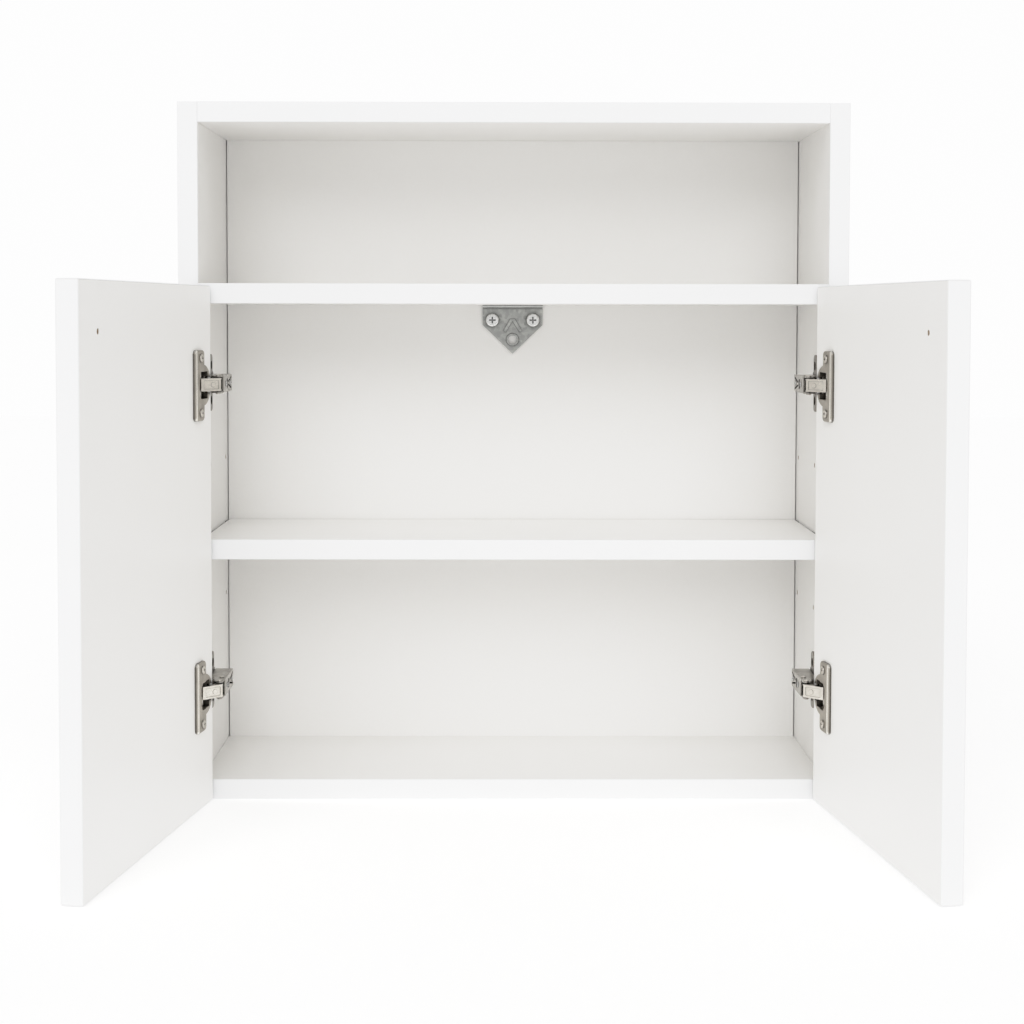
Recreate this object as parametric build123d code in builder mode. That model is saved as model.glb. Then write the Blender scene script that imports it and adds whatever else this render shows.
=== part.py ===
from build123d import *
from math import atan2, cos, degrees, radians, sin
import os

# Hanging wall cabinet: an open niche on top and two full-overlay doors below, on concealed cup hinges.
# Millimetres. The origin is the middle of the back, on the wall plane: X to the right, Y into the wall,
# Z up. At rest the doors stand open: the left one against its hinges' stops, the right one just off them.

# ---- Driving dimensions -------------------------------------------------------------------------
width = 600.0
height = 627.0
depth = 182.0
board = 18.0
back_board = 16.0
edge_round = 0.8
seam_chamfer = 0.5

fixed_shelf_underside = 447.6       # above the underside of the cabinet
loose_shelf_underside = 217.5
loose_shelf_end_gap = 1.5
loose_shelf_setback = 1.0
back_gap = 0.8                      # between the back board and the side panels

door_width = 297.5
door_height = 462.5
door_thickness = 18.0
door_lift = 1.0                     # door's lower edge above the cabinet's underside
door_reveal = 1.0                   # side panel left uncovered by a shut door
door_gap = 2.5                      # between a shut door and the carcass
door_round = 1.5
open_angle = 99.3                   # at the hinges' stops
standing_shut = {"left": 0.0, "right": 1.0}     # degrees each door stands short of its stops
open_corner_x = -270.4              # left door's inner hinge-side corner, when it stands open
open_corner_ahead = 4.0             # how far that corner is in front of the carcass
knob_hole_radius = 2.5
knob_hole_from_edge = 37.0
knob_hole_below_top = 39.0

hinge_heights = {"lower": 101.4, "upper": 375.5}
support_row = 231.2                 # row of shelf support holes in use
support_row_pitch = 66.8
support_columns = (64.5, 154.5)     # behind the carcass front

# ---- Derived planes and places ------------------------------------------------------------------
front_y = -depth
bottom_z = -height / 2
inner_x = width / 2 - board
shelf_depth = depth - back_board
panel_levels = {
    "bottom_panel": 0.0,
    "fixed_shelf": fixed_shelf_underside,
    "top_panel": height - board,
}
SIDES = {"left": -1, "right": 1}


def level(z_above_bottom):
    """Height in the part's frame of a height above the cabinet's underside."""
    return bottom_z + z_above_bottom


def behind_front(distance):
    """Y of a place that lies a distance behind the carcass front."""
    return front_y + distance


# ---- Finishing helpers --------------------------------------------------------------------------
os.makedirs("parts", exist_ok=True)


def save(name, builder):
    builder.part.label = name
    export_step(builder.part, f"parts/{name}.step")


def save_group(name, solids):
    """Identical fasteners share one node, as separate solids."""
    with BuildPart() as group:
        for solid in solids:
            add(solid)
    save(name, group)


def on_side(left_part, side):
    """A left-hand piece as it is, or its mirror image for the right."""
    with BuildPart() as piece:
        if side == "left":
            add(left_part)
        else:
            mirror(left_part, about=Plane.YZ)
    return piece


def on_each_hinge(left_part, body=None):
    """Yields side, height name and solid for each hinge. body says what the piece moves with."""
    for side in SIDES:
        standing = as_it_stands(left_part, side, body)
        for row, z in hinge_heights.items():
            yield side, row, on_side(standing.moved(Location((0, 0, level(z)))), side)


def save_on_each_hinge(name, left_part, body=None):
    for side, row, piece in on_each_hinge(left_part, body):
        save(f"{side}_{row}_{name}", piece)


def group_on_each_hinge(left_parts):
    return [piece.part for left_part in left_parts for side, row, piece in on_each_hinge(left_part)]


# ---- Carcass fittings: places shared by the boards and the fittings in them -----------------------
cam_radius = 7.5
cam_depth = 12.5
cam_from_end = 34.0
cam_columns = (35.0, 131.0)
bolt_radius = 3.5
bolt_thread_radius = 2.5
bolt_thread_length = 10.0
dowel_radius = 4.0
dowel_in_side = 10.0
dowel_in_shelf = 20.0
dowel_column = 83.0
back_screw_radius = 2.0
back_screw_head_radius = 4.0
back_screw_length = 45.0
back_screw_columns = (-220.0, 0.0, 220.0)
support_pin_radius = 2.5
support_pin_length = 9.0
support_hole_depth = 11.0
plate_screw_setback = 37.0
plate_screw_spacing = 32.0
plate_screw_radius = 2.5
plate_screw_length = 12.0
fit_gap = 0.05                      # radial, round fasteners in their holes

# Wall bracket, on the back board under the fixed shelf.
bracket_width = 59.0
bracket_height = 47.8
bracket_side_height = 19.5
bracket_sheet = 1.5
bracket_foot = 12.0
bracket_screw_spacing = 40.0
bracket_screw_drop = 14.7
wall_hole_radius = 4.2
wall_hole_drop = 34.0
wall_collar_radius = 6.4
bracket_top = fixed_shelf_underside
bracket_screw_radius = 2.0
bracket_screw_length = 12.0
bracket_screw_head_radius = 6.5


def cams_above(name):
    """The top panel's cams open upwards, and the others open downwards."""
    return name == "top_panel"


# ---- Boards -------------------------------------------------------------------------------------
def side_panel():
    """Left side panel, with blind holes for bolts, dowels, shelf supports and hinge plate screws."""
    face = Plane(origin=(-inner_x, 0, 0), x_dir=(0, 1, 0), z_dir=(1, 0, 0))
    with BuildPart() as panel:
        with BuildSketch(Plane.XY.offset(bottom_z)):
            with Locations((-width / 2, front_y)):
                Rectangle(board, depth, align=(Align.MIN, Align.MIN))
        extrude(amount=height)
        fillet(panel.edges().filter_by(Axis.X, reverse=True), edge_round)
        bolt_places = []
        dowel_places = []
        for z in panel_levels.values():
            mid = level(z + board / 2)
            bolt_places += [(behind_front(y), mid) for y in cam_columns]
            dowel_places.append((behind_front(dowel_column), mid))
        rows = [support_row + i * support_row_pitch for i in (-1, 0, 1)]
        support_places = [(behind_front(y), level(z)) for z in rows for y in support_columns]
        plate_places = []
        for z in hinge_heights.values():
            for offset_z in (-plate_screw_spacing / 2, plate_screw_spacing / 2):
                plate_places.append((behind_front(plate_screw_setback), level(z + offset_z)))
        drillings = (
            (bolt_places, bolt_thread_radius + fit_gap, bolt_thread_length + 0.5),
            (dowel_places, dowel_radius + fit_gap, dowel_in_side + 0.5),
            (support_places, support_pin_radius, support_hole_depth),
            (plate_places, plate_screw_radius + fit_gap, plate_screw_length + 0.5),
        )
        for places, radius, hole_depth in drillings:
            with BuildSketch(face):
                with Locations(*places):
                    Circle(radius)
            extrude(amount=-hole_depth, mode=Mode.SUBTRACT)
    return panel.part


def cross_board(name):
    """Top, fixed shelf or bottom: a board between the side panels, in front of the back board."""
    z = level(panel_levels[name])
    with BuildPart() as panel:
        with BuildSketch(Plane.XY.offset(z)):
            with Locations((0, front_y)):
                Rectangle(2 * inner_x, shelf_depth, align=(Align.CENTER, Align.MIN))
        extrude(amount=board)
        fillet(panel.edges().filter_by(Axis.X).group_by(Axis.Y)[0], edge_round)
        chamfer(panel.edges().filter_by(Axis.X).group_by(Axis.Y)[-1], seam_chamfer)
        chamfer(panel.edges().filter_by(Axis.Y), 0.6 * seam_chamfer)
        # Cam housings, open on the hidden face.
        cam_face = z + board if cams_above(name) else z
        cam_way = -1 if cams_above(name) else 1
        cam_places = [
            (sign * (inner_x - cam_from_end), behind_front(y)) for sign in (-1, 1) for y in cam_columns
        ]
        with BuildSketch(Plane.XY.offset(cam_face)):
            with Locations(*cam_places):
                Circle(cam_radius + fit_gap)
        extrude(amount=cam_way * (cam_depth + 0.5), mode=Mode.SUBTRACT)
        # Bolt and dowel bores in the two ends.
        for sign in SIDES.values():
            end = Plane(origin=(sign * inner_x, 0, z + board / 2), x_dir=(0, 1, 0), z_dir=(-sign, 0, 0))
            with BuildSketch(end):
                with Locations(*[(behind_front(y), 0) for y in cam_columns]):
                    Circle(bolt_radius + fit_gap)
            extrude(amount=cam_from_end, mode=Mode.SUBTRACT)
            with BuildSketch(end):
                with Locations((behind_front(dowel_column), 0)):
                    Circle(dowel_radius + fit_gap)
            extrude(amount=dowel_in_shelf + 0.5, mode=Mode.SUBTRACT)
        # Screw bores in the rear edge.
        with BuildSketch(Plane.XZ.offset(back_board)):
            with Locations(*[(x, z + board / 2) for x in back_screw_columns]):
                Circle(back_screw_radius + fit_gap)
        extrude(amount=back_screw_length - back_board + 0.5, mode=Mode.SUBTRACT)
    return panel


for side in SIDES:
    save(f"{side}_side_panel", on_side(side_panel(), side))

for name in panel_levels:
    save(name, cross_board(name))

# Back board, full height between the side panels, screwed to the rear edges of the cross boards.
back_screw_places = [(x, level(z + board / 2)) for z in panel_levels.values() for x in back_screw_columns]
with BuildPart() as back_panel:
    with BuildSketch(Plane.XZ):
        Rectangle(2 * (inner_x - back_gap), height)
    extrude(amount=back_board)
    fillet(back_panel.edges().filter_by(Axis.Y, reverse=True), edge_round / 2)
    with BuildSketch(Plane.XZ):
        with Locations(*back_screw_places):
            Circle(back_screw_radius + fit_gap)
    extrude(amount=back_board, mode=Mode.SUBTRACT)
    for x, z in back_screw_places:
        with BuildSketch(Plane.XZ):
            with Locations((x, z)):
                Circle(back_screw_head_radius + 0.1)
        extrude(amount=back_screw_head_radius - back_screw_radius, taper=45, mode=Mode.SUBTRACT)
    with BuildSketch(Plane.XZ.offset(back_board)):
        for sign in SIDES.values():
            with Locations((sign * bracket_screw_spacing / 2, level(bracket_top - bracket_screw_drop))):
                Circle(bracket_screw_radius + fit_gap)
    extrude(amount=-bracket_screw_length, mode=Mode.SUBTRACT)
save("back_panel", back_panel)

# Adjustable shelf, loose on four supports.
loose_shelf_depth = shelf_depth - loose_shelf_setback - 1.5
with BuildPart() as adjustable_shelf:
    with BuildSketch(Plane.XY.offset(level(loose_shelf_underside))):
        with Locations((0, behind_front(loose_shelf_setback))):
            Rectangle(2 * (inner_x - loose_shelf_end_gap), loose_shelf_depth, align=(Align.CENTER, Align.MIN))
    extrude(amount=board)
    fillet(adjustable_shelf.edges().filter_by(Axis.Z, reverse=True), edge_round)
save("adjustable_shelf", adjustable_shelf)


# ---- Fasteners ----------------------------------------------------------------------------------
def cross_recess(radius, recess_depth):
    """Solid to cut from the top of a screw that points down from Z = 0."""
    with BuildPart() as recess:
        with BuildSketch():
            Rectangle(2 * radius, 0.3 * radius + 0.3)
            Rectangle(0.3 * radius + 0.3, 2 * radius)
        extrude(amount=-recess_depth)
    return recess.part


def countersunk_screw(head_radius, shank_radius, length):
    """Flat-topped screw along Z, head at the top, with a conical point."""
    cone = head_radius - shank_radius
    with BuildPart() as screw:
        with BuildSketch(Plane.XZ):
            with BuildLine():
                Polyline(
                    (0, 0),
                    (head_radius, 0),
                    (shank_radius, -cone),
                    (shank_radius, -length + 2 * shank_radius),
                    (0, -length),
                    close=True,
                )
            make_face()
        revolve(axis=Axis.Z)
        add(cross_recess(0.62 * head_radius, 0.6 * cone), mode=Mode.SUBTRACT)
    return screw.part


def pan_screw(head_radius, head_height, shank_radius, length, rounding=0.75):
    """Round-headed screw along Z: the head stands above Z = 0 and the shank goes below it."""
    with BuildPart() as screw:
        with BuildSketch(Plane.XZ):
            with BuildLine():
                Polyline(
                    (0, head_height),
                    (head_radius, head_height),
                    (head_radius, 0),
                    (shank_radius, 0),
                    (shank_radius, -length + 2 * shank_radius),
                    (0, -length),
                    close=True,
                )
            make_face()
        revolve(axis=Axis.Z)
        fillet(screw.edges().group_by(Axis.Z)[-1], rounding * head_height)
        recess = cross_recess(0.5 * head_radius, 0.55 * head_height)
        add(recess.moved(Location((0, 0, head_height))), mode=Mode.SUBTRACT)
    return screw.part


def placed(part, x, y, z, pointing):
    """A fastener drawn pointing down Z, moved to a place and turned to point the given way."""
    plane = Plane(origin=(x, y, z), z_dir=Vector(pointing) * -1)
    return part.moved(plane.location)


back_screw = countersunk_screw(back_screw_head_radius, back_screw_radius, back_screw_length)
save_group("back_panel_screws", [placed(back_screw, x, 0, z, (0, -1, 0)) for x, z in back_screw_places])

# Cam housings: zinc drums with a cross recess and a side opening for the bolt's head.
with BuildPart() as cam:
    with BuildSketch():
        Circle(cam_radius)
    extrude(amount=-cam_depth)
    add(cross_recess(0.6 * cam_radius, 3.0), mode=Mode.SUBTRACT)
    with BuildSketch(Plane.YZ.offset(0)):
        with Locations((0, -board / 2)):
            Circle(bolt_radius + 0.2)
    extrude(amount=cam_radius + 1, mode=Mode.SUBTRACT)

# Cam bolts: a threaded end in the side panel, a collar and a head inside the cam.
bolt_reach = cam_from_end - 2.0
with BuildPart() as cam_bolt:
    with BuildSketch(Plane.XZ):
        with BuildLine():
            Polyline(
                (0, -bolt_thread_length),
                (bolt_thread_radius, -bolt_thread_length),
                (bolt_thread_radius, 0),
                (bolt_radius, 0),
                (bolt_radius, 6.0),
                (0.6 * bolt_radius, 8.0),
                (0.6 * bolt_radius, bolt_reach - 5.0),
                (0.8 * bolt_radius, bolt_reach - 2.5),
                (0.8 * bolt_radius, bolt_reach),
                (0, bolt_reach),
                close=True,
            )
        make_face()
    revolve(axis=Axis.Z)

with BuildPart() as dowel:
    with BuildSketch(Plane.XY.offset(-dowel_in_side)):
        Circle(dowel_radius)
    extrude(amount=dowel_in_side + dowel_in_shelf)
    chamfer(dowel.edges().filter_by(GeomType.CIRCLE), 0.8)

cams = []
bolts = []
dowels = []
for name, z in panel_levels.items():
    mid = level(z + board / 2)
    for sign in SIDES.values():
        for y in cam_columns:
            cam_x = sign * (inner_x - cam_from_end)
            turn = 0 if sign > 0 else 180
            if cams_above(name):
                at = Location((cam_x, behind_front(y), level(z + board)), (0, 0, turn))
            else:
                at = Location((cam_x, behind_front(y), level(z)), (180, 0, -turn))
            cams.append(cam.part.moved(at))
            bolts.append(placed(cam_bolt.part, sign * inner_x, behind_front(y), mid, (sign, 0, 0)))
        dowels.append(placed(dowel.part, sign * inner_x, behind_front(dowel_column), mid, (sign, 0, 0)))
save_group("cam_housings", cams)
save_group("cam_bolts", bolts)
save_group("wood_dowels", dowels)

# Shelf supports: steel angles. The pin is in the side panel, the upright leg fills the gap at the
# shelf's end, and the shelf rests on the foot.
support_sheet = 1.2
support_foot = 12.0
support_width = 12.0
with BuildPart() as support:
    with BuildSketch(Plane.XZ.offset(-support_width / 2)):
        with BuildLine():
            Polyline(
                (0, loose_shelf_underside - support_sheet - support_row),
                (support_foot, loose_shelf_underside - support_sheet - support_row),
                (support_foot, loose_shelf_underside - support_row),
                (support_sheet, loose_shelf_underside - support_row),
                (support_sheet, 3.8),
                (0, 3.8),
                close=True,
            )
        make_face()
    extrude(amount=support_width)
    fillet(support.edges().filter_by(Axis.Z).sort_by(Axis.X)[-2:], 2.0)
    with BuildSketch(Plane.YZ):
        Circle(support_pin_radius - fit_gap)
    extrude(amount=-support_pin_length)
supports = []
for y in support_columns:
    there = support.part.moved(Location((-inner_x, behind_front(y), level(support_row))))
    supports.extend(on_side(there, side).part for side in SIDES)
save_group("shelf_supports", supports)

# ---- Wall bracket -------------------------------------------------------------------------------
bracket_back = Plane.XZ.offset(back_board)

with BuildPart() as wall_bracket:
    with BuildSketch(bracket_back):
        with BuildLine():
            Polyline(
                (-bracket_width / 2, level(bracket_top)),
                (bracket_width / 2, level(bracket_top)),
                (bracket_width / 2, level(bracket_top - bracket_side_height)),
                (0, level(bracket_top - bracket_height)),
                (-bracket_width / 2, level(bracket_top - bracket_side_height)),
                close=True,
            )
        make_face()
    extrude(amount=bracket_sheet)
    # Foot against the shelf's underside.
    with BuildSketch(bracket_back):
        with Locations((0, level(bracket_top) - bracket_sheet / 2)):
            Rectangle(bracket_width, bracket_sheet)
    extrude(amount=bracket_foot)
    inner_bend = wall_bracket.edges().filter_by(Axis.X).filter_by_position(
        Axis.Y, -back_board - bracket_sheet - 0.1, -back_board - bracket_sheet + 0.1
    ).sort_by(Axis.Z)[-1]
    fillet(inner_bend, 1.4)
    # Raised collar round the wall screw's hole.
    with BuildSketch(bracket_back.offset(bracket_sheet)):
        with Locations((0, level(bracket_top - wall_hole_drop))):
            Circle(wall_collar_radius)
    extrude(amount=1.2, taper=22)
    # Pressed chevron rib above the hole.
    with BuildSketch(bracket_back.offset(bracket_sheet)):
        with BuildLine():
            Polyline(
                (-9.5, level(bracket_top - 25.5)),
                (-2.5, level(bracket_top - 13.5)),
                (2.5, level(bracket_top - 13.5)),
                (9.5, level(bracket_top - 25.5)),
                (6.5, level(bracket_top - 26.5)),
                (0, level(bracket_top - 16.0)),
                (-6.5, level(bracket_top - 26.5)),
                close=True,
            )
        make_face()
    extrude(amount=0.7, taper=20)
    with BuildSketch(bracket_back):
        with Locations((0, level(bracket_top - wall_hole_drop))):
            Circle(wall_hole_radius)
        for sign in SIDES.values():
            with Locations((sign * bracket_screw_spacing / 2, level(bracket_top - bracket_screw_drop))):
                Circle(bracket_screw_radius + 0.1)
    extrude(amount=bracket_foot, mode=Mode.SUBTRACT)
save("wall_bracket", wall_bracket)

bracket_screw = pan_screw(
    bracket_screw_head_radius, 3.0, bracket_screw_radius, bracket_screw_length, rounding=0.4
)
save_group(
    "wall_bracket_screws",
    [
        placed(
            bracket_screw,
            sign * bracket_screw_spacing / 2,
            -back_board - bracket_sheet,
            level(bracket_top - bracket_screw_drop),
            (0, 1, 0),
        )
        for sign in (-1, 1)
    ],
)

# ---- Hinges -------------------------------------------------------------------------------------
# Everything here is drawn for the left side with the hinge's middle at Z = 0, then raised to the two
# hinge heights and mirrored. A place in a door is given by s, the distance from the hinge-side edge
# along the inner face, and q, the depth below that face.
hinge_plane = Plane(origin=(0, front_y, 0))
along_door = Vector(cos(radians(open_angle)), -sin(radians(open_angle)), 0)
into_door = Vector(along_door.Y, -along_door.X, 0)
open_corner = Vector(open_corner_x, front_y - open_corner_ahead, 0)
shut_corner = Vector(-width / 2 + door_reveal, front_y - door_gap, 0)

hinge_pin_radius = 1.25
running_gap = 0.05
rivet_head_radius = 2.2
rivet_head_height = 1.0

cup_radius = 17.5
cup_depth = 12.5
cup_s = 24.5
cup_flange_sheet = 3.0
cup_flange_half_height = 31.0
cup_flange_near_s = 25.4
cup_flange_far_s = 48.3
cup_rim_radius = 18.0
cup_rim_sheet = 2.0                 # thin enough to pass the side panel when the door is shut
cup_pocket_radius = 16.2
cup_pocket_near_s = 9.0
cup_pocket_far_s = 39.0
cup_pocket_half_height = 12.0
cup_throat_far_s = 15.0             # the pocket is narrower up to here, beside the pin
cup_throat_half_height = 7.5
cup_pocket_depth = 11.2
cup_notch_half_height = 7.0
cup_notch_depth = 1.2
cup_screw_s = 35.0
cup_screw_height = 24.0
cup_screw_radius = 1.8
cup_screw_length = 14.0
cup_screw_head_radius = 3.6

inner_cup_pin = (12.0, 2.5)         # s, q
inner_arm_pin_x = -264.0
inner_half_height = 4.2
inner_neck = ((0, 0), (4.43, -3.81), (12.2, -1.88))
inner_bar = 2.8
inner_cup_eye = 2.3
inner_arm_eye = 2.4
inner_pin_half_length = 9.5

outer_cup_pin = (16.64, 4.47)
outer_arm_pin_x = -263.5
outer_half_height = 5.7
outer_sheet = 1.2
outer_web_y = -5.7
outer_web_overhang = 2.3            # past the cup pin's place
outer_web_short = 0.6               # short of the arm pin
outer_eye = 3.0
outer_stub_start = 4.7
outer_stub_end = 14.0

arm_face_x = -260.0
arm_sheet = 1.2
arm_half_height = 7.7
arm_foot_x = -276.0
arm_nose = 1.2                      # web's front end, behind the carcass front
arm_tail = 50.0
arm_slot_y = 22.8
arm_slot_length = 6.0
adjusting_screw_y = 15.0
clamp_screw_y = 42.0
groove_ends = ((29.0, 1.3), (46.5, 5.0))
plate_seat_y = 26.0


def in_open_door(s, q):
    return open_corner + along_door * s + into_door * q


def in_shut_door(s, q):
    return shut_corner + Vector(s, -q, 0)


def arm_pin_place(cup_pin, x):
    """The place on the arm, at a given X, equally far from the cup pin's open and shut places."""
    opened = in_open_door(*cup_pin)
    shut = in_shut_door(*cup_pin)
    middle = (opened + shut) * 0.5
    travel = shut - opened
    return Vector(x, middle.Y - (x - middle.X) * travel.X / travel.Y, 0)


def turn_from(pivot, start, end):
    """Degrees from one place to another round a pivot, anticlockwise from above."""
    before = start - pivot
    after = end - pivot
    return degrees(atan2(before.X * after.Y - before.Y * after.X, before.X * after.X + before.Y * after.Y))


def turned(part, pivot, angle):
    """A piece turned about an upright line through a place."""
    return part.moved(Location(pivot) * Location((0, 0, 0), (0, 0, angle)) * Location(pivot * -1))


def as_it_stands(part, side, body):
    """A piece of a fully open hinge or door, turned to where that side's door stands at rest."""
    share = standing_shut[side] / open_angle
    if body == "door":
        part = turned(part, inner_open, (open_angle - inner_turn) * share)
    if body in ("door", "inner link"):
        part = turned(part, inner_arm_pin, inner_turn * share)
    if body == "outer link":
        part = turned(part, outer_arm_pin, outer_turn * share)
    return part


def door_face(z):
    """Inner face of the open left door, with s along X and the normal out of the board."""
    return Plane(origin=open_corner + Vector(0, 0, z), x_dir=along_door, z_dir=into_door * -1)


def bent_bar(points, thickness):
    """Draws a bar of even thickness along a bent line, with round bends, in the current sketch."""
    for start, end in zip(points, points[1:]):
        run = Vector(end[0] - start[0], end[1] - start[1])
        turn = degrees(atan2(run.Y, run.X))
        with Locations(((start[0] + end[0]) / 2, (start[1] + end[1]) / 2)):
            SlotCenterToCenter(run.length, thickness, rotation=turn)


def pin(place, low, high, radius, head_radius=0.0, head_height=0.0):
    """Upright pin between two heights, with a rivet head at each end if it has any."""
    with BuildPart() as rod:
        with BuildSketch(Plane.XY.offset(low)):
            with Locations((place.X, place.Y)):
                Circle(radius)
        extrude(amount=high - low)
        if head_height:
            for z, way in ((high, 1), (low, -1)):
                with BuildSketch(Plane.XY.offset(z)):
                    with Locations((place.X, place.Y)):
                        Circle(head_radius)
                extrude(amount=way * head_height)
            rims = rod.edges().filter_by(GeomType.CIRCLE).group_by(Axis.Z)
            fillet(rims[0] + rims[-1], 0.6 * head_height)
    return rod.part


inner_open = in_open_door(*inner_cup_pin)
outer_open = in_open_door(*outer_cup_pin)
inner_arm_pin = arm_pin_place(inner_cup_pin, inner_arm_pin_x)
outer_arm_pin = arm_pin_place(outer_cup_pin, outer_arm_pin_x)
inner_turn = turn_from(inner_arm_pin, inner_open, in_shut_door(*inner_cup_pin))
outer_turn = turn_from(outer_arm_pin, outer_open, in_shut_door(*outer_cup_pin))
inner_length = (inner_arm_pin - inner_open).length
outer_length = (outer_arm_pin - outer_open).length
inner_plane = Plane(origin=inner_open, x_dir=inner_arm_pin - inner_open, z_dir=(0, 0, 1))
outer_plane = Plane(origin=outer_open, x_dir=outer_arm_pin - outer_open, z_dir=(0, 0, 1))

# Inner link, a cranked bar. It carries the door: pinned to the cup and to the arm.
with BuildPart() as inner_link:
    with BuildSketch(inner_plane.offset(-inner_half_height)):
        bent_bar((*inner_neck, (inner_length, 0)), inner_bar)
        Circle(inner_cup_eye)
        with Locations((inner_length, 0)):
            Circle(inner_arm_eye)
        with Locations((0, 0), (inner_length, 0)):
            Circle(hinge_pin_radius + running_gap, mode=Mode.SUBTRACT)
    extrude(amount=2 * inner_half_height)
save_on_each_hinge("inner_link", inner_link.part, "inner link")

# Outer link, a pressed channel pinned to the arm. The pressing stops short of its pin in the cup.
with BuildPart() as outer_link:
    for z in (-outer_half_height, outer_half_height - outer_sheet):
        with BuildSketch(outer_plane.offset(z)):
            with BuildLine():
                Polyline(
                    (-1.0, outer_web_y),
                    (outer_length - outer_web_short, outer_web_y),
                    (outer_length + 2.3, -1.93),
                    (outer_length - 0.52, 2.95),
                    (11.5, -0.4),
                    (2.4, -0.6),
                    (2.4, outer_web_y + outer_sheet),
                    (-1.0, outer_web_y + outer_sheet),
                    close=True,
                )
            make_face()
            with Locations((outer_length, 0)):
                Circle(outer_eye)
                Circle(hinge_pin_radius + running_gap, mode=Mode.SUBTRACT)
        extrude(amount=outer_sheet)
    with BuildSketch(outer_plane.offset(-outer_half_height)):
        with Locations((-outer_web_overhang, outer_web_y)):
            Rectangle(
                outer_length + outer_web_overhang - outer_web_short,
                outer_sheet,
                align=(Align.MIN, Align.MIN),
            )
    extrude(amount=2 * outer_half_height)
    # Shallow pressing in the web's outer face.
    web_face = Plane(
        origin=outer_plane.from_local_coords(Vector(outer_length / 2 - 1.2, outer_web_y, 0)),
        x_dir=outer_plane.x_dir,
        z_dir=outer_plane.y_dir * -1,
    )
    with BuildSketch(web_face):
        RectangleRounded(outer_length - 3.4, 2 * outer_half_height - 3.4, 1.0)
        with Locations((2.0, 0)):
            Circle(2.0, mode=Mode.SUBTRACT)
    extrude(amount=-0.3, mode=Mode.SUBTRACT)
save_on_each_hinge("outer_link", outer_link.part, "outer link")

# Arm, a pressed channel over the mounting plate, with both links pinned between its cheeks.
with BuildPart() as arm:
    for z in (-arm_half_height, arm_half_height - arm_sheet):
        with BuildSketch(hinge_plane.offset(z)):
            with BuildLine():
                Polyline(
                    (arm_foot_x, 2.0),
                    (-269.3, 0.5),
                    (-269.3, -5.0),
                    (-266.32, -8.03),
                    (-260.68, -8.03),
                    (-260.6, 0.4),
                    (arm_face_x, arm_nose),
                    (arm_face_x, arm_tail),
                    (arm_foot_x, arm_tail),
                    close=True,
                )
            make_face()
            with Locations((outer_arm_pin.X, outer_arm_pin.Y - front_y)):
                Circle(outer_eye)
            for place in (inner_arm_pin, outer_arm_pin):
                with Locations((place.X, place.Y - front_y)):
                    Circle(hinge_pin_radius + fit_gap, mode=Mode.SUBTRACT)
        extrude(amount=arm_sheet)
    with BuildSketch(hinge_plane.offset(-arm_half_height)):
        with Locations((arm_face_x, arm_nose)):
            Rectangle(arm_sheet, arm_tail - arm_nose, align=(Align.MAX, Align.MIN))
    extrude(amount=2 * arm_half_height)
    web_front = Plane(origin=(arm_face_x, front_y, 0), x_dir=(0, 1, 0), z_dir=(1, 0, 0))
    with BuildSketch(web_front):
        with Locations((arm_slot_y, 0)):
            RectangleRounded(arm_slot_length, 8.6, 1.1)
        with Locations((adjusting_screw_y, 0)):
            Circle(1.8 + fit_gap)
        with Locations((clamp_screw_y, 0)):
            SlotCenterToCenter(2.0, 3.4)
        for sign in (-1, 1):
            bent_bar([(y, sign * z) for y, z in groove_ends], 1.6)
    extrude(amount=-arm_sheet, mode=Mode.SUBTRACT)
save_on_each_hinge("hinge_arm", arm.part)

# Mounting plate, die cast, screwed to the side panel. The arm straddles its bar and rests on it.
panel_face = Plane(origin=(-inner_x, front_y, 0), x_dir=(0, 1, 0), z_dir=(1, 0, 0))
bar_top = arm_face_x - arm_sheet + inner_x
screw_places = [(plate_screw_setback, sign * plate_screw_spacing / 2) for sign in (-1, 1)]
with BuildPart() as plate:
    with BuildSketch(panel_face):
        with Locations((plate_screw_setback, 0)):
            RectangleRounded(14.0, 52.0, 5.0)
    extrude(amount=5.4)
    fillet(plate.faces().sort_by(Axis.X)[-1].edges(), 0.6)
    with BuildSketch(panel_face):
        with Locations((plate_screw_setback, 0)):
            RectangleRounded(18.0, 20.0, 2.0)
        with Locations((27.5, 10.2)):
            Circle(3.2)
    extrude(amount=5.6)
    with BuildSketch(panel_face):
        with Locations((35.0, 0)):
            RectangleRounded(42.0, 12.4, 1.5)
    extrude(amount=10.0)
    with BuildSketch(panel_face):
        with Locations((plate_seat_y, 0)):
            Rectangle(54.0 - plate_seat_y, 12.4, align=(Align.MIN, Align.CENTER))
    extrude(amount=bar_top)
    with BuildSketch(panel_face.offset(bar_top)):
        for sign in (-1, 1):
            bent_bar([(y, sign * z) for y, z in groove_ends], 1.6)
    extrude(amount=-3.0, mode=Mode.SUBTRACT)
    with BuildSketch(panel_face.offset(bar_top)):
        with Locations((clamp_screw_y, 0)):
            Circle(1.6 + fit_gap)
    extrude(amount=-12.0, mode=Mode.SUBTRACT)
    with BuildSketch(panel_face):
        with Locations(*screw_places):
            Circle(plate_screw_radius + fit_gap)
    extrude(amount=6.0, mode=Mode.SUBTRACT)
    with BuildSketch(panel_face.offset(2.0)):
        with Locations(*screw_places):
            Circle(4.2)
    extrude(amount=4.0, mode=Mode.SUBTRACT)
save_on_each_hinge("mounting_plate", plate.part)

arm_rivets = [
    pin(place, -arm_half_height, arm_half_height, hinge_pin_radius, rivet_head_radius, rivet_head_height)
    for place in (inner_arm_pin, outer_arm_pin)
]
save_group("hinge_arm_pins", group_on_each_hinge(arm_rivets))

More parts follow.
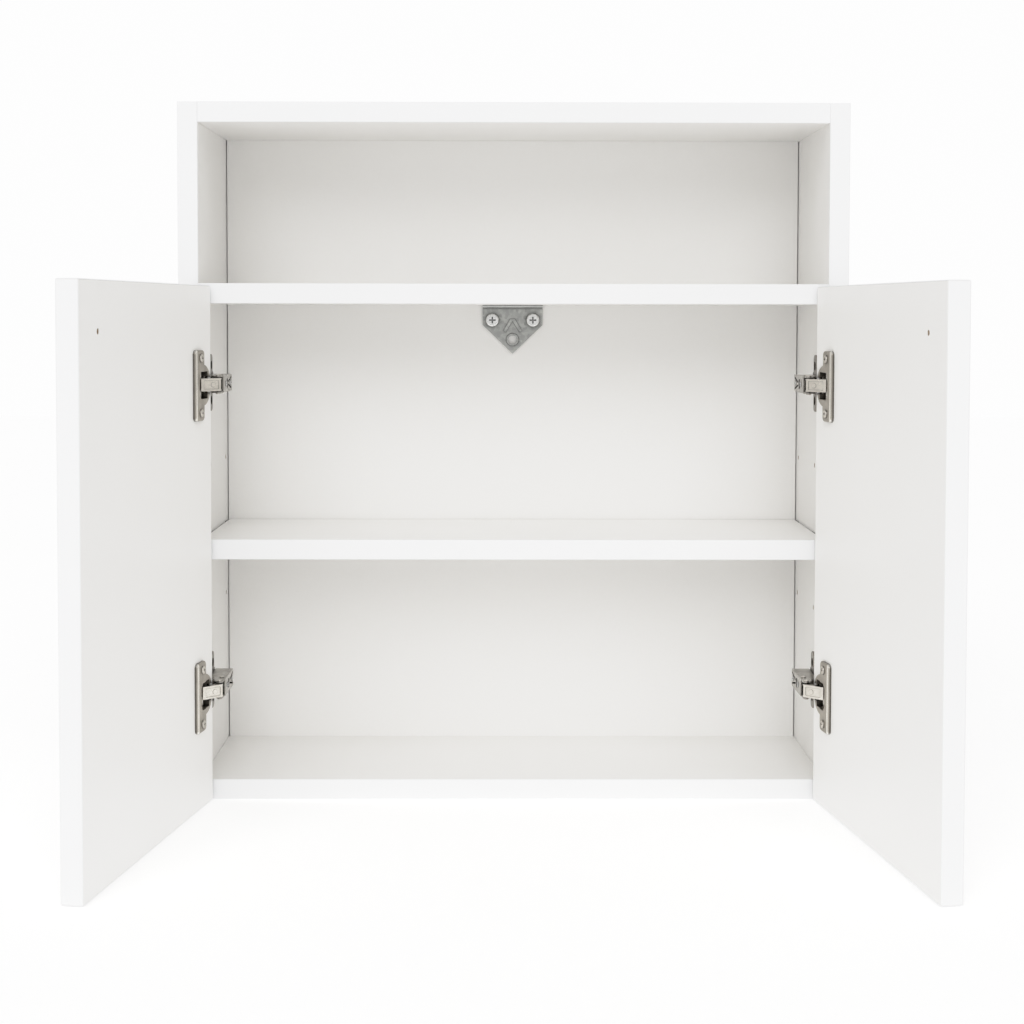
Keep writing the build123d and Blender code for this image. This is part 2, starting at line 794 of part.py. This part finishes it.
plate_screw = pan_screw(4.0, 2.3, plate_screw_radius, plate_screw_length + 2.0)
plate_screws = [
    placed(plate_screw, -inner_x + 2.0, behind_front(y), z, (-1, 0, 0)) for y, z in screw_places
]
save_group("mounting_plate_screws", group_on_each_hinge(plate_screws))

adjusting_screw = pan_screw(2.4, 0.8, 1.8, 6.5)
adjusting_screws = [placed(adjusting_screw, arm_face_x, behind_front(adjusting_screw_y), 0, (-1, 0, 0))]
save_group("side_adjusting_screws", group_on_each_hinge(adjusting_screws))

clamp_screw = pan_screw(2.4, 0.8, 1.6, 12.0)
clamp_screws = [placed(clamp_screw, arm_face_x, behind_front(clamp_screw_y), 0, (-1, 0, 0))]
save_group("arm_clamp_screws", group_on_each_hinge(clamp_screws))

# Closing spring, a forked leaf inside the arm, with its tail against the mounting plate's bar.
spring_sheet = 0.7
spring_tail_y = plate_seat_y - spring_sheet / 2
with BuildPart() as spring:
    with BuildSketch(hinge_plane.offset(-5.4)):
        outer_leg = ((-262.3, spring_tail_y), (-262.3, 20.0))
        inner_leg = ((-270.6, 20.0), (-270.6, spring_tail_y))
        bent_bar((*outer_leg, (-266.2, 13.8), *inner_leg), spring_sheet)
    extrude(amount=10.8)
    with BuildSketch(hinge_plane.offset(-2.6)):
        with Locations((-266.0, 12.0)):
            Rectangle(14.0, 9.0, align=(Align.CENTER, Align.MIN))
    extrude(amount=5.2, mode=Mode.SUBTRACT)
save_group("hinge_springs", group_on_each_hinge([spring.part]))

# Cup, die cast, let into the door.
cup_screw_places = [(cup_screw_s, cup_screw_height), (cup_screw_s, -cup_screw_height)]
face = door_face(0)
with BuildPart() as cup_flange:
    with BuildSketch(face):
        with Locations(((cup_flange_near_s + cup_flange_far_s) / 2, 0)):
            RectangleRounded(cup_flange_far_s - cup_flange_near_s, 2 * cup_flange_half_height, 4.0)
    extrude(amount=cup_flange_sheet)
    fillet(cup_flange.faces().sort_by(Axis((0, 0, 0), into_door))[0].edges(), 1.5)
with BuildPart() as cup:
    with BuildSketch(face):
        with Locations((cup_s, 0)):
            Circle(cup_rim_radius)
    extrude(amount=cup_rim_sheet)
    fillet(cup.faces().sort_by(Axis((0, 0, 0), into_door))[0].edges(), 0.7)
    add(cup_flange.part)
    with BuildSketch(face):
        with Locations((cup_s, 0)):
            Circle(cup_radius)
    extrude(amount=-cup_depth)
    with BuildSketch(face.offset(cup_flange_sheet)):
        with Locations((cup_s, 0)):
            Circle(cup_pocket_radius)
        with Locations((cup_throat_far_s, 0)):
            Rectangle(
                cup_pocket_far_s - cup_throat_far_s,
                2 * cup_pocket_half_height,
                align=(Align.MIN, Align.CENTER),
                mode=Mode.INTERSECT,
            )
        with Locations((cup_pocket_near_s, 0)):
            Rectangle(
                cup_throat_far_s - cup_pocket_near_s + 1.0,
                2 * cup_throat_half_height,
                align=(Align.MIN, Align.CENTER),
            )
    extrude(amount=-cup_flange_sheet - cup_pocket_depth, mode=Mode.SUBTRACT)
    # Notch in the rim for the links.
    with BuildSketch(face.offset(cup_flange_sheet)):
        with Locations((cup_pocket_near_s + 1.0, 0)):
            Rectangle(8.0, 2 * cup_notch_half_height, align=(Align.MAX, Align.CENTER))
    extrude(amount=-cup_flange_sheet - cup_notch_depth, mode=Mode.SUBTRACT)
    with BuildSketch(face.offset(cup_flange_sheet)):
        with Locations(*cup_screw_places):
            Circle(cup_screw_radius + fit_gap)
    extrude(amount=-cup_flange_sheet, mode=Mode.SUBTRACT)
    # Blind seats for the pins in the cup's side walls.
    pin_seats = [
        pin(inner_open, -inner_pin_half_length, inner_pin_half_length, hinge_pin_radius + fit_gap),
        pin(outer_open, outer_stub_start, outer_stub_end, hinge_pin_radius + fit_gap),
        pin(outer_open, -outer_stub_end, -outer_stub_start, hinge_pin_radius + fit_gap),
    ]
    for seat in pin_seats:
        add(seat, mode=Mode.SUBTRACT)
save_on_each_hinge("hinge_cup", cup.part, "door")

# Cup pins and cup screws, one group to a door.
cup_pins = [
    pin(inner_open, -inner_pin_half_length, inner_pin_half_length, hinge_pin_radius),
    pin(outer_open, outer_stub_start, outer_stub_end, hinge_pin_radius),
    pin(outer_open, -outer_stub_end, -outer_stub_start, hinge_pin_radius),
]
cup_screw = pan_screw(cup_screw_head_radius, 1.5, cup_screw_radius, cup_screw_length)
cup_screws = []
for s, height_in_hinge in cup_screw_places:
    seat = in_open_door(s, -cup_flange_sheet)
    cup_screws.append(placed(cup_screw, seat.X, seat.Y, height_in_hinge, into_door))
for name, left_parts in (("cup_pins", cup_pins), ("cup_screws", cup_screws)):
    for door_side in SIDES:
        save_group(
            f"{door_side}_{name}",
            [
                piece.part
                for left_part in left_parts
                for side, row, piece in on_each_hinge(left_part, "door")
                if side == door_side
            ],
        )

# ---- Doors --------------------------------------------------------------------------------------
knob_hole_height = door_lift + door_height - knob_hole_below_top
door_plan = Plane(origin=open_corner + Vector(0, 0, level(door_lift)), x_dir=along_door, z_dir=(0, 0, 1))
with BuildPart() as left_door:
    with BuildSketch(door_plan):
        Rectangle(door_width, door_thickness, align=(Align.MIN, Align.MAX))
    extrude(amount=door_height)
    fillet(left_door.edges(), door_round)
    for z in hinge_heights.values():
        with BuildSketch(door_face(level(z))):
            with Locations((cup_s, 0)):
                Circle(cup_radius + fit_gap)
        extrude(amount=-cup_depth - 0.5, mode=Mode.SUBTRACT)
        with BuildSketch(door_face(level(z))):
            with Locations(*cup_screw_places):
                Circle(cup_screw_radius + fit_gap)
        extrude(amount=cup_flange_sheet - cup_screw_length - 0.5, mode=Mode.SUBTRACT)
    with BuildSketch(door_face(level(knob_hole_height))):
        with Locations((door_width - knob_hole_from_edge, 0)):
            Circle(knob_hole_radius)
    extrude(amount=-door_thickness, mode=Mode.SUBTRACT)

for side in SIDES:
    save(f"{side}_door", on_side(as_it_stands(left_door.part, side, "door"), side))
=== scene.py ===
from math import cos, radians, sin

import bpy
from mathutils import Matrix, Vector


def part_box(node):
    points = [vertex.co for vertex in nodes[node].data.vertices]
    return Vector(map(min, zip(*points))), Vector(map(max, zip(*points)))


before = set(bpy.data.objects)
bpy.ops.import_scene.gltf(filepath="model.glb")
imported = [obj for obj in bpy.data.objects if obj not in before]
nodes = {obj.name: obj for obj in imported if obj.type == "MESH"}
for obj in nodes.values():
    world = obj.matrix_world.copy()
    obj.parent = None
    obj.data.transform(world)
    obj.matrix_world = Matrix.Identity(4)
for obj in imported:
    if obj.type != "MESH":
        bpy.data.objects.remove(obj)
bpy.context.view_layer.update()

MM = 0.001

# ---- The cabinet's faces, from the frame ----------------------------------------------------------
panel_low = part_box("left_side_panel")[0]
FLOOR_Z = panel_low[2]
FRONT_Y = panel_low[1]
BRACKET_TOP_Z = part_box("wall_bracket")[1][2]

# Each door stands open, and has a frame of its own: X along its width and Y through its thickness,
# turned about Z at the inner corner of its hinge side.
OUTWARDS = {"left": -1.0, "right": 1.0}
DOOR_WIDTH, DOOR_THICKNESS = 297.5 * MM, 18.0 * MM
DOOR_ANGLES = {"left": radians(99.3), "right": radians(98.3)}
DOOR_CORNERS = {
    "left": Vector((-270.4 * MM, FRONT_Y - 4.0 * MM, 0.0)),
    "right": Vector((270.75 * MM, FRONT_Y - 3.86 * MM, 0.0)),
}


# ---- Node helpers ---------------------------------------------------------------------------------
class Shader:
    """A material's node tree, with one line to a node."""

    def __init__(self, name):
        self.material = bpy.data.materials.new(name)
        self.material.use_nodes = True
        self.tree = self.material.node_tree
        self.bsdf = self.tree.nodes["Principled BSDF"]
        self.place = self.node("ShaderNodeTexCoord").outputs["Object"]

    def node(self, kind, **settings):
        made = self.tree.nodes.new(kind)
        for key, value in settings.items():
            setattr(made, key, value)
        return made

    def plug(self, value, socket):
        if isinstance(value, bpy.types.NodeSocket):
            self.tree.links.new(value, socket)
        else:
            socket.default_value = value

    def maths(self, operation, a, b=0.0, clamp=False):
        made = self.node("ShaderNodeMath", operation=operation, use_clamp=clamp)
        self.plug(a, made.inputs[0])
        self.plug(b, made.inputs[1])
        return made.outputs[0]

    def spread(self, value, from_low, from_high, to_low, to_high):
        made = self.node("ShaderNodeMapRange")
        self.plug(value, made.inputs["Value"])
        made.inputs["From Min"].default_value = from_low
        made.inputs["From Max"].default_value = from_high
        made.inputs["To Min"].default_value = to_low
        made.inputs["To Max"].default_value = to_high
        return made.outputs["Result"]

    def noise(self, scale, detail=4.0, roughness=0.55, stretch=(1, 1, 1), place=None):
        made = self.node("ShaderNodeTexNoise")
        made.inputs["Scale"].default_value = scale
        made.inputs["Detail"].default_value = detail
        made.inputs["Roughness"].default_value = roughness
        self.plug(self.stretched(place or self.place, stretch), made.inputs["Vector"])
        return made.outputs["Fac"]

    def cells(self, scale, output="Color", place=None):
        made = self.node("ShaderNodeTexVoronoi")
        made.inputs["Scale"].default_value = scale
        self.plug(place or self.place, made.inputs["Vector"])
        return made.outputs[output]

    def stretched(self, place, stretch=(1, 1, 1), turn=(0, 0, 0), move=(0, 0, 0)):
        if stretch == (1, 1, 1) and turn == (0, 0, 0) and move == (0, 0, 0):
            return place
        made = self.node("ShaderNodeMapping")
        made.inputs["Scale"].default_value = stretch
        made.inputs["Rotation"].default_value = turn
        made.inputs["Location"].default_value = move
        self.plug(place, made.inputs["Vector"])
        return made.outputs["Vector"]

    def mix(self, share, a, b):
        made = self.node("ShaderNodeMix", data_type="RGBA")
        self.plug(share, made.inputs["Factor"])
        for value, socket in ((a, made.inputs["A"]), (b, made.inputs["B"])):
            self.plug((*value, 1.0) if isinstance(value, tuple) else value, socket)
        return made.outputs["Result"]

    def bump(self, height, distance, strength=1.0, below=None):
        made = self.node("ShaderNodeBump")
        made.inputs["Distance"].default_value = distance
        made.inputs["Strength"].default_value = strength
        self.plug(height, made.inputs["Height"])
        if below is not None:
            self.plug(below, made.inputs["Normal"])
        return made.outputs["Normal"]

    def shade_hollows(self, colour, reach, hollow_shade, power=1.0):
        """Darkens a colour with painted shade in corners, slots and gaps narrower than the reach, by
        ambient occlusion.
        """
        made = self.node("ShaderNodeAmbientOcclusion", samples=8)
        made.inputs["Distance"].default_value = reach
        open_share = self.maths("POWER", made.outputs["AO"], power)
        return self.mix(open_share, hollow_shade, colour)

    def finish(self, colour, roughness, normal=None, **constants):
        if isinstance(colour, tuple):
            colour = (*colour, 1.0)
        self.plug(colour, self.bsdf.inputs["Base Color"])
        self.plug(roughness, self.bsdf.inputs["Roughness"])
        if normal is not None:
            self.plug(normal, self.bsdf.inputs["Normal"])
        for key, value in constants.items():
            self.bsdf.inputs[key.replace("_", " ")].default_value = value
        return self.material


def dress(name, material):
    """Gives a CAD node a material in every slot."""
    mesh = nodes[name].data
    mesh.materials.clear()
    mesh.materials.append(material)


# ---- White foil-faced board -----------------------------------------------------------------------
FOIL = (0.885, 0.876, 0.858)
FOIL_DULL = (0.865, 0.854, 0.832)
EDGE_BAND = (0.81, 0.812, 0.815)
GLUE_LINE = (0.60, 0.58, 0.54)
CHIP_LIGHT = (0.60, 0.47, 0.33)
CHIP_DARK = (0.36, 0.26, 0.17)
BAND = 0.9 * MM
BAND_LINE = 0.12 * MM               # half the width of a band's glue line
BOARD_INSET = 0.45 * MM             # just inside a board's rounded edges
DOOR_INSET = 0.75 * MM
FRONT_BAND = ((1, -1),)
DOOR_BANDS = ((0, -1), (0, 1), (2, -1), (2, 1))


def board(name, low, high, inset, banded, turn=0.0, pivot=(0, 0, 0)):
    """Foil on the faces, a hairline where the edge band ends, and bare chips inside the drillings.

    low and high are the board's corners in its own frame, which is turned about Z at the pivot.
    banded lists the edges with a band, as (axis, -1 or 1)."""
    s = Shader("white_foil_" + name)
    own = s.place
    if turn or pivot != (0, 0, 0):
        moved = s.stretched(s.place, move=tuple(-v for v in pivot))
        own = s.stretched(moved, turn=(0, 0, -turn))
    split = s.node("ShaderNodeSeparateXYZ")
    s.plug(own, split.inputs[0])
    axes = [split.outputs[i] for i in range(3)]

    # Inside the board, away from all its faces: the wall of a drilling.
    core = None
    for i in range(3):
        for edge, sign in ((low[i], 1.0), (high[i], -1.0)):
            gap = s.maths("MULTIPLY", s.maths("SUBTRACT", axes[i], edge), sign)
            inside = s.maths("GREATER_THAN", gap, inset)
            core = inside if core is None else s.maths("MULTIPLY", core, inside)

    # Edge bands, and their glue lines.
    band = line = None
    for axis, sign in banded:
        edge = low[axis] if sign < 0 else high[axis]
        gap = s.maths("ABSOLUTE", s.maths("SUBTRACT", axes[axis], edge))
        off = s.maths("ABSOLUTE", s.maths("SUBTRACT", gap, BAND))
        hair = s.maths("LESS_THAN", off, BAND_LINE)
        line = hair if line is None else s.maths("MAXIMUM", line, hair)
        strip = s.maths("LESS_THAN", gap, BAND)
        band = strip if band is None else s.maths("MAXIMUM", band, strip)

    cloud = s.spread(s.noise(5.0, 3.0), 0.3, 0.7, 0.0, 1.0)
    speck = s.spread(s.noise(420.0, 2.0), 0.35, 0.65, 0.0, 1.0)
    foil = s.mix(s.maths("MULTIPLY", s.maths("ADD", cloud, speck), 0.3), FOIL, FOIL_DULL)
    if line is not None:
        foil = s.mix(band, foil, EDGE_BAND)
        foil = s.mix(s.maths("MULTIPLY", line, 0.45), foil, GLUE_LINE)
    chips = s.mix(s.cells(900.0, "Color"), CHIP_DARK, CHIP_LIGHT)
    colour = s.mix(core, foil, chips)

    smears = s.spread(s.noise(14.0, 5.0), 0.3, 0.75, 0.34, 0.46)
    fine = s.spread(s.noise(700.0, 2.0), 0.3, 0.7, -0.04, 0.04)
    roughness = s.maths("ADD", s.maths("ADD", smears, fine), s.maths("MULTIPLY", core, 0.45), clamp=True)
    peel = s.bump(s.noise(260.0, 3.0), 0.00006, 0.55)
    pearl = s.bump(s.noise(1500.0, 2.0), 0.00003, 0.5, below=peel)
    return s.finish(colour, roughness, pearl, Specular_IOR_Level=0.45)


carcass_boards = ("left_side_panel", "right_side_panel", "top_panel", "fixed_shelf", "bottom_panel")
for name in (*carcass_boards, "back_panel", "adjustable_shelf"):
    low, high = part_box(name)
    dress(name, board(name, low, high, BOARD_INSET, () if name == "back_panel" else FRONT_BAND))

door_low, door_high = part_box("left_door")
for side, sign in OUTWARDS.items():
    near_x, far_x = (0.0, DOOR_WIDTH) if side == "left" else (-DOOR_WIDTH, 0.0)
    low = (near_x, -DOOR_THICKNESS, door_low[2])
    high = (far_x, 0.0, door_high[2])
    turn = sign * DOOR_ANGLES[side]
    pivot = tuple(DOOR_CORNERS[side])
    dress(f"{side}_door", board(f"{side}_door", low, high, DOOR_INSET, DOOR_BANDS, turn, pivot))


# ---- Metals ---------------------------------------------------------------------------------------
# Colours of the painted shade that each metal takes in its hollows and gaps.
NICKEL_HOLLOW_SHADE = (0.03, 0.027, 0.022)
CASTING_HOLLOW_SHADE = (0.012, 0.011, 0.009)
ZINC_HOLLOW_SHADE = (0.05, 0.052, 0.05)
SCREW_HOLLOW_SHADE = (0.02, 0.02, 0.02)


def nickel(name, bright, dull):
    """Nickel plate on pressed steel: satin, a little warm, with faint rolling marks and dull patches."""
    s = Shader(name)
    patches = s.spread(s.noise(60.0, 5.0), 0.35, 0.7, 0.0, 1.0)
    colour = s.mix(patches, bright, dull)
    # Painted shade: darker in hollows and gaps within 5 mm, by ambient occlusion.
    colour = s.shade_hollows(colour, 5.0 * MM, NICKEL_HOLLOW_SHADE, 1.5)
    drawn = s.noise(900.0, 3.0, stretch=(0.25, 0.25, 3.0))
    roughness = s.maths("ADD", s.spread(patches, 0, 1, 0.24, 0.36), s.spread(drawn, 0.3, 0.7, -0.03, 0.05))
    normal = s.bump(drawn, 0.00004, 0.35)
    normal = s.bump(s.noise(260.0, 3.0), 0.0001, 0.25, below=normal)
    return s.finish(colour, roughness, normal, Metallic=1.0)


def cast_nickel(name, face_tint, highlight_tint=None, along=None, highlight_span=None):
    """Plated die casting: softer and greyer than the pressings.

    With the last three it has a painted highlight, a light band between two distances along a direction."""
    s = Shader(name)
    patches = s.spread(s.noise(90.0, 5.0), 0.3, 0.7, 0.0, 1.0)
    dull_tint = tuple(0.78 * channel for channel in face_tint)
    colour = s.mix(patches, face_tint, dull_tint)
    grain = s.noise(1300.0, 3.0)
    roughness = s.maths("ADD", s.spread(patches, 0, 1, 0.3, 0.42), s.spread(grain, 0.3, 0.7, -0.04, 0.04))
    # Painted highlight: a light band, with lower roughness, where the flange's rounded edge catches the
    # light.
    if along is not None:
        reach = s.node("ShaderNodeVectorMath", operation="DOT_PRODUCT")
        s.plug(s.place, reach.inputs[0])
        reach.inputs[1].default_value = along
        middle, half_width = (highlight_span[0] + highlight_span[1]) / 2, (highlight_span[1] - highlight_span[0]) / 2
        off = s.maths("ABSOLUTE", s.maths("SUBTRACT", reach.outputs["Value"], middle))
        painted_highlight = s.spread(off, 0.5 * half_width, half_width, 1.0, 0.0)
        colour = s.mix(painted_highlight, colour, highlight_tint)
        roughness = s.maths("SUBTRACT", roughness, s.maths("MULTIPLY", painted_highlight, 0.12))
    # Painted shade: darker in hollows and gaps within 5 mm, by ambient occlusion.
    colour = s.shade_hollows(colour, 5.0 * MM, CASTING_HOLLOW_SHADE, 2.0)
    return s.finish(colour, roughness, s.bump(grain, 0.00006, 0.5), Metallic=1.0)


# Height and half width of two painted lines along the bracket's fold, a highlight and a shadow line, and
# what they look like.
FOLD_HIGHLIGHT_AND_SHADOW = (
    (BRACKET_TOP_Z - 1.4 * MM, 0.8 * MM, (0.86, 0.87, 0.86)),
    (BRACKET_TOP_Z - 3.3 * MM, 0.7 * MM, (0.17, 0.175, 0.17)),
)


def galvanised():
    """Zinc-plated sheet with its spangle."""
    s = Shader("zinc_sheet")
    spangle = s.cells(330.0, "Color")
    grey = s.node("ShaderNodeRGBToBW")
    s.plug(spangle, grey.inputs[0])
    flake = grey.outputs[0]
    wear = s.spread(s.noise(120.0, 5.0), 0.35, 0.7, 0.0, 1.0)
    colour = s.mix(flake, (0.31, 0.313, 0.30), (0.51, 0.513, 0.495))
    colour = s.mix(s.maths("MULTIPLY", wear, 0.35), colour, (0.26, 0.27, 0.27))
    # Painted shade: darker in hollows and gaps within 4 mm, by ambient occlusion.
    colour = s.shade_hollows(colour, 4.0 * MM, ZINC_HOLLOW_SHADE, 1.6)
    # Along the fold under the fixed shelf there is a painted highlight, with a painted shadow line beside
    # it.
    height = s.node("ShaderNodeSeparateXYZ")
    s.plug(s.place, height.inputs[0])
    for middle, half_width, tint in FOLD_HIGHLIGHT_AND_SHADOW:
        off = s.maths("ABSOLUTE", s.maths("SUBTRACT", height.outputs["Z"], middle))
        colour = s.mix(s.spread(off, 0.4 * half_width, half_width, 0.8, 0.0), colour, tint)
    roughness = s.maths("ADD", s.spread(flake, 0, 1, 0.3, 0.5), s.spread(wear, 0, 1, 0.0, 0.08))
    normal = s.bump(flake, 0.00006, 0.35)
    normal = s.bump(s.noise(700.0, 3.0), 0.00005, 0.4, below=normal)
    return s.finish(colour, roughness, normal, Metallic=1.0)


def bright_screw():
    """Zinc-plated screw steel."""
    s = Shader("screw_zinc")
    worn = s.spread(s.noise(300.0, 4.0), 0.35, 0.7, 0.0, 1.0)
    colour = s.mix(worn, (0.80, 0.80, 0.79), (0.60, 0.60, 0.59))
    # Painted shade: darker in slots and gaps within 2.5 mm, by ambient occlusion.
    colour = s.shade_hollows(colour, 2.5 * MM, SCREW_HOLLOW_SHADE, 2.4)
    rings = s.noise(1600.0, 2.0)
    roughness = s.maths("ADD", s.spread(worn, 0, 1, 0.22, 0.38), s.spread(rings, 0.3, 0.7, -0.03, 0.03))
    return s.finish(colour, roughness, s.bump(rings, 0.00005, 0.4), Metallic=1.0)


def spring_steel():
    """Dark oiled spring steel."""
    s = Shader("spring_steel")
    streaks = s.noise(500.0, 4.0, stretch=(0.3, 0.3, 2.0))
    colour = s.mix(s.spread(streaks, 0.3, 0.7, 0.0, 1.0), (0.28, 0.27, 0.26), (0.18, 0.17, 0.17))
    roughness = s.spread(streaks, 0.3, 0.7, 0.3, 0.45)
    return s.finish(colour, roughness, s.bump(streaks, 0.00004, 0.4), Metallic=1.0)


def cast_zinc():
    """Bare die-cast zinc of the cams, dull with flow marks."""
    s = Shader("cast_zinc")
    flow = s.noise(240.0, 5.0, stretch=(1, 1, 0.4))
    colour = s.mix(s.spread(flow, 0.3, 0.7, 0.0, 1.0), (0.58, 0.58, 0.58), (0.42, 0.42, 0.43))
    roughness = s.spread(flow, 0.3, 0.7, 0.38, 0.55)
    return s.finish(colour, roughness, s.bump(flow, 0.00008, 0.5), Metallic=1.0)


def beech():
    """Beech dowel, with flutes of grain along its length."""
    s = Shader("beech_dowel")
    grain = s.noise(700.0, 5.0, stretch=(0.06, 1, 1))
    flecks = s.cells(900.0, "Distance", place=s.stretched(s.place, (0.2, 1, 1)))
    colour = s.mix(s.spread(grain, 0.3, 0.7, 0.0, 1.0), (0.72, 0.53, 0.33), (0.55, 0.37, 0.2))
    colour = s.mix(s.spread(flecks, 0.0, 0.25, 0.3, 0.0), colour, (0.4, 0.25, 0.13))
    return s.finish(colour, s.spread(grain, 0.3, 0.7, 0.55, 0.75), s.bump(grain, 0.0001, 0.5))


NICKEL = nickel("nickel_plate", (0.74, 0.71, 0.655), (0.56, 0.53, 0.48))
# The arms take a darker copy of the same nickel plate: painted shade for the dim inside of the cabinet
# that they reflect.
ARM_NICKEL_SHADED = nickel("nickel_plate_arms_shaded", (0.54, 0.52, 0.485), (0.38, 0.36, 0.33))
ZINC, SCREW = galvanised(), bright_screw()
PLATE = cast_nickel("plate_casting", (0.30, 0.275, 0.24))
# The flange of each cup gets a painted highlight along the edge away from the hinge side.
CUP_HIGHLIGHT_SPAN = (44.2 * MM, 48.0 * MM)
CUPS = {}
for side, sign in OUTWARDS.items():
    angle = DOOR_ANGLES[side]
    along_door = Vector((-sign * cos(angle), -sin(angle), 0.0))
    start = DOOR_CORNERS[side].dot(along_door)
    CUPS[side] = cast_nickel(
        f"{side}_cup_casting",
        (0.46, 0.425, 0.375),
        (0.88, 0.86, 0.81),
        tuple(along_door),
        (start + CUP_HIGHLIGHT_SPAN[0], start + CUP_HIGHLIGHT_SPAN[1]),
    )
dress("wall_bracket", ZINC)
dress("shelf_supports", ZINC)
dress("hinge_springs", spring_steel())
dress("cam_housings", cast_zinc())
dress("wood_dowels", beech())
for name in ("wall_bracket_screws", "back_panel_screws", "cam_bolts"):
    dress(name, SCREW)
for name in ("mounting_plate_screws", "side_adjusting_screws", "arm_clamp_screws"):
    dress(name, SCREW)
for name in ("hinge_arm_pins", "left_cup_pins", "right_cup_pins", "left_cup_screws", "right_cup_screws"):
    dress(name, NICKEL)
for name in nodes:
    if name.endswith("_hinge_arm"):
        dress(name, ARM_NICKEL_SHADED)
    elif name.endswith(("_inner_link", "_outer_link")):
        dress(name, NICKEL)
    elif name.endswith("_hinge_cup"):
        dress(name, CUPS["left" if name.startswith("left") else "right"])
    elif name.endswith("_mounting_plate"):
        dress(name, PLATE)


# ---- Floor ----------------------------------------------------------------------------------------
FLOOR_HALF = 6.0
FLOOR_GLOW = 0.34                   # lifts the floor to the white of the background


def pale_floor():
    """Seamless studio floor, nearly white, a little cloudy."""
    s = Shader("pale_floor")
    cloud = s.spread(s.noise(1.3, 3.0), 0.3, 0.7, 0.0, 1.0)
    return s.finish(
        s.mix(cloud, (0.95, 0.95, 0.95), (0.94, 0.94, 0.94)),
        0.9,
        Emission_Color=(1.0, 1.0, 1.0, 1.0),
        Emission_Strength=FLOOR_GLOW,
    )


corners = ((-1, -1), (1, -1), (1, 1), (-1, 1))
floor_points = [(FLOOR_HALF * x, FLOOR_HALF * y, FLOOR_Z) for x, y in corners]
floor_mesh = bpy.data.meshes.new("floor")
floor_mesh.from_pydata(floor_points, [], [(0, 1, 2, 3)])
floor = bpy.data.objects.new("floor", floor_mesh)
bpy.context.collection.objects.link(floor)
floor_mesh.materials.append(pale_floor())


# ---- Light ----------------------------------------------------------------------------------------
def sun(name, towards, strength, spread):
    """A lamp like a large, far window: towards is the way its light goes, spread its size in degrees."""
    data = bpy.data.lights.new(name, "SUN")
    data.energy = strength
    data.angle = radians(spread)
    lamp = bpy.data.objects.new(name, data)
    lamp.rotation_euler = Vector(towards).to_track_quat("-Z", "Y").to_euler()
    bpy.context.collection.objects.link(lamp)


sun("key", towards=(0.05, 0.79, -0.61), strength=1.60, spread=50)
sun("fill_left", towards=(0.72, 0.62, -0.3), strength=0.10, spread=50)

# The studio is white to look at and dimmer as a light.
STUDIO_LIGHT = 0.665
STUDIO_SEEN = 1.27
world = bpy.data.worlds.new("studio")
bpy.context.scene.world = world
world.use_nodes = True
studio = world.node_tree.nodes["Background"]
studio.inputs["Color"].default_value = (1.0, 1.0, 1.0, 1.0)
seen = world.node_tree.nodes.new("ShaderNodeLightPath")
brightness = world.node_tree.nodes.new("ShaderNodeMapRange")
brightness.inputs["To Min"].default_value = STUDIO_LIGHT
brightness.inputs["To Max"].default_value = STUDIO_SEEN
world.node_tree.links.new(seen.outputs["Is Camera Ray"], brightness.inputs["Value"])
world.node_tree.links.new(brightness.outputs["Result"], studio.inputs["Strength"])

# A soft shoulder, so that white boards stay just under the white of the background.
WHITE_LEVEL = 1.3
TONES = ((0.45, 0.44), (0.70, 0.69), (0.85, 0.80), (1.0, 0.87), (1.12, 0.92))
view = bpy.context.scene.view_settings
view.view_transform = "Standard"
view.use_curve_mapping = True
tone = view.curve_mapping.curves[3]
for scene_light, shown in TONES:
    tone.points.new(scene_light / WHITE_LEVEL, shown)
view.curve_mapping.white_level = (WHITE_LEVEL, WHITE_LEVEL, WHITE_LEVEL)
view.curve_mapping.update()


# ---- Camera ---------------------------------------------------------------------------------------
CAMERA_PLACE = (-0.012106, -1.76970, 0.121803)
YAW, PITCH, ROLL = radians(0.3814), radians(-2.4545), radians(0.1020)
FOCAL_LENGTH, SENSOR_WIDTH = 62.33, 36.0
SHIFT_Y = -0.11556
camera_data = bpy.data.cameras.new("camera")
camera_data.lens = FOCAL_LENGTH
camera_data.sensor_width = SENSOR_WIDTH
camera_data.shift_y = SHIFT_Y
camera_data.clip_start = 0.05
camera = bpy.data.objects.new("camera", camera_data)
ahead = Vector((sin(YAW) * cos(PITCH), cos(YAW) * cos(PITCH), sin(PITCH)))
level_right = Vector((cos(YAW), -sin(YAW), 0.0))
level_up = level_right.cross(ahead)
right = level_right * cos(ROLL) + level_up * sin(ROLL)
up = level_up * cos(ROLL) - level_right * sin(ROLL)
turned = Matrix((right, up, -ahead)).transposed().to_4x4()
camera.matrix_world = Matrix.Translation(CAMERA_PLACE) @ turned
bpy.context.collection.objects.link(camera)
bpy.context.scene.camera = camera
